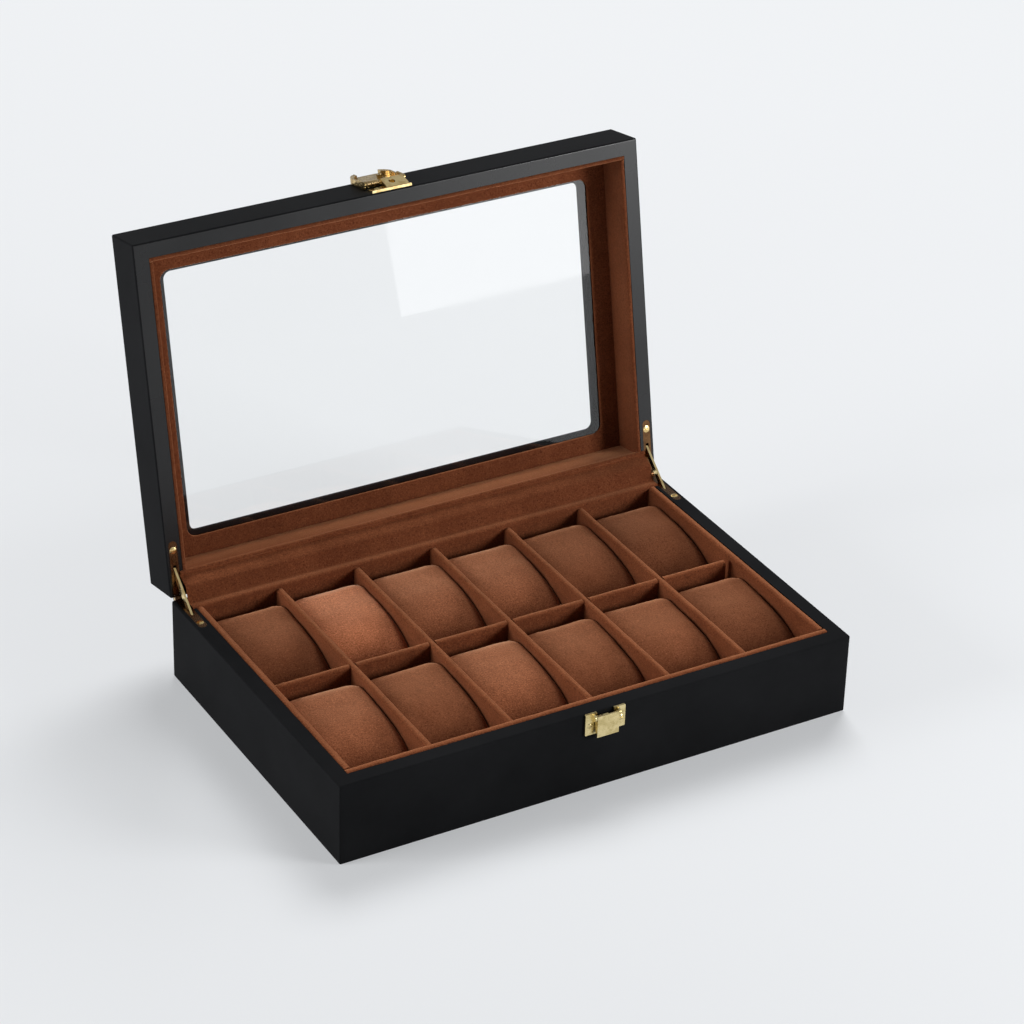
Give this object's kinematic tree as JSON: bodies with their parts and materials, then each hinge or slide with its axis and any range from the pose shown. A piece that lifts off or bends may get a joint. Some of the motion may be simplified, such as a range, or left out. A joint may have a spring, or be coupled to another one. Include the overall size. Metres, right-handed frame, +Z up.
{
  "type": "watch display box",
  "caption": "Hinged display box with a glass-windowed lid, velvet-lined compartments holding loaf-shaped pillows, and a snap hasp clasp.",
  "frame": {"origin": "middle of the underside of the base", "axes": "+X along the long side to the right, -Y out of the front with the clasp, +Z up; the lid is stored open"},
  "size_m": [0.32, 0.284, 0.2569],
  "materials": {
    "black_lacquer": "satin black lacquer over fibreboard",
    "lining_velvet": "short-pile brown velvet glued over board",
    "pillow_velvet": "short-pile brown velvet over soft filling",
    "gusset_cloth": "brown velvet cloth strip",
    "window_glass": "clear float glass",
    "gold_metal": "pale gold plating, fine brushed",
    "spring_wire": "drawn spring wire"
  },
  "bodies": {
    "base": {"base_front_wall": "black_lacquer", "base_rear_wall": "black_lacquer", "base_left_wall": "black_lacquer", "base_right_wall": "black_lacquer", "bottom_panel": "black_lacquer", "base_front_liner": "lining_velvet", "base_rear_liner": "lining_velvet", "base_left_liner": "lining_velvet", "base_right_liner": "lining_velvet", "tray_floor": "lining_velvet", "long_divider": "lining_velvet", "cross_divider_1": "lining_velvet", "cross_divider_2": "lining_velvet", "cross_divider_3": "lining_velvet", "cross_divider_4": "lining_velvet", "cross_divider_5": "lining_velvet", "hinge_gusset": "gusset_cloth", "left_base_leaf": "gold_metal", "right_base_leaf": "gold_metal", "hinge_pins": "gold_metal", "base_hinge_screws": "gold_metal", "strike_plate": "gold_metal", "flap_pin": "gold_metal", "flap_spring": "spring_wire", "strike_screws": "gold_metal"},
    "lid": {"lid_front_wall": "black_lacquer", "lid_rear_wall": "black_lacquer", "lid_left_wall": "black_lacquer", "lid_right_wall": "black_lacquer", "lid_top_frame": "black_lacquer", "glass_pane": "window_glass", "lid_inner_frame": "lining_velvet", "lid_front_liner": "lining_velvet", "lid_rear_liner": "lining_velvet", "lid_left_liner": "lining_velvet", "lid_right_liner": "lining_velvet", "left_lid_leaf": "gold_metal", "right_lid_leaf": "gold_metal", "stay_pins": "gold_metal", "lid_hinge_screws": "gold_metal", "keeper_plate": "gold_metal", "hasp_spring": "spring_wire", "keeper_screws": "gold_metal", "hasp_pin": "gold_metal"},
    "left_stay": {"left_stay": "gold_metal"},
    "right_stay": {"right_stay": "gold_metal"},
    "hasp": {"hasp": "gold_metal"},
    "latch": {"latch_flap": "gold_metal"},
    "pillow_front_1": {"pillow_front_1": "pillow_velvet"},
    "pillow_front_2": {"pillow_front_2": "pillow_velvet"},
    "pillow_front_3": {"pillow_front_3": "pillow_velvet"},
    "pillow_front_4": {"pillow_front_4": "pillow_velvet"},
    "pillow_front_5": {"pillow_front_5": "pillow_velvet"},
    "pillow_front_6": {"pillow_front_6": "pillow_velvet"},
    "pillow_rear_1": {"pillow_rear_1": "pillow_velvet"},
    "pillow_rear_2": {"pillow_rear_2": "pillow_velvet"},
    "pillow_rear_3": {"pillow_rear_3": "pillow_velvet"},
    "pillow_rear_4": {"pillow_rear_4": "pillow_velvet"},
    "pillow_rear_5": {"pillow_rear_5": "pillow_velvet"},
    "pillow_rear_6": {"pillow_rear_6": "pillow_velvet"}
  },
  "joints": [
    {"name": "lid_hinge", "type": "hinge", "parent": "base", "child": "lid", "pos_m": [0, 0.1039, 0.0504], "axis": [-1, 0, 0], "range_deg": [-100.7, 0], "deforming": ["hinge_gusset"]},
    {"name": "left_stay_pivot", "type": "hinge", "parent": "lid", "child": "left_stay", "pos_m": [-0.1555, 0.10934, 0.06628], "axis": [-1, 0, 0], "range_deg": [0, 50.35]},
    {"name": "right_stay_pivot", "type": "hinge", "parent": "lid", "child": "right_stay", "pos_m": [0.1555, 0.10934, 0.06628], "axis": [-1, 0, 0], "range_deg": [0, 50.35]},
    {"name": "hasp_hinge", "type": "hinge", "parent": "lid", "child": "hasp", "pos_m": [0, 0.15371, 0.25531], "axis": [-1, 0, 0], "range_deg": [-180, 0]},
    {"name": "latch_press", "type": "hinge", "parent": "base", "child": "latch", "pos_m": [0, -0.106, 0.0474], "axis": [1, 0, 0], "range_deg": [0, 8], "stiffness_Nm_per_rad": 0.1, "springref_deg": -5.73},
    {"name": "pillow_front_1_lift", "type": "slide", "parent": "base", "child": "pillow_front_1", "axis": [0, 0, 1], "range_m": [0, 0.06]},
    {"name": "pillow_front_2_lift", "type": "slide", "parent": "base", "child": "pillow_front_2", "axis": [0, 0, 1], "range_m": [0, 0.06]},
    {"name": "pillow_front_3_lift", "type": "slide", "parent": "base", "child": "pillow_front_3", "axis": [0, 0, 1], "range_m": [0, 0.06]},
    {"name": "pillow_front_4_lift", "type": "slide", "parent": "base", "child": "pillow_front_4", "axis": [0, 0, 1], "range_m": [0, 0.06]},
    {"name": "pillow_front_5_lift", "type": "slide", "parent": "base", "child": "pillow_front_5", "axis": [0, 0, 1], "range_m": [0, 0.06]},
    {"name": "pillow_front_6_lift", "type": "slide", "parent": "base", "child": "pillow_front_6", "axis": [0, 0, 1], "range_m": [0, 0.06]},
    {"name": "pillow_rear_1_lift", "type": "slide", "parent": "base", "child": "pillow_rear_1", "axis": [0, 0, 1], "range_m": [0, 0.06]},
    {"name": "pillow_rear_2_lift", "type": "slide", "parent": "base", "child": "pillow_rear_2", "axis": [0, 0, 1], "range_m": [0, 0.06]},
    {"name": "pillow_rear_3_lift", "type": "slide", "parent": "base", "child": "pillow_rear_3", "axis": [0, 0, 1], "range_m": [0, 0.06]},
    {"name": "pillow_rear_4_lift", "type": "slide", "parent": "base", "child": "pillow_rear_4", "axis": [0, 0, 1], "range_m": [0, 0.06]},
    {"name": "pillow_rear_5_lift", "type": "slide", "parent": "base", "child": "pillow_rear_5", "axis": [0, 0, 1], "range_m": [0, 0.06]},
    {"name": "pillow_rear_6_lift", "type": "slide", "parent": "base", "child": "pillow_rear_6", "axis": [0, 0, 1], "range_m": [0, 0.06]}
  ],
  "couplings": [
    {"joint": "left_stay_pivot", "follows": "lid_hinge", "ratio": -0.5},
    {"joint": "right_stay_pivot", "follows": "lid_hinge", "ratio": -0.5}
  ]
}
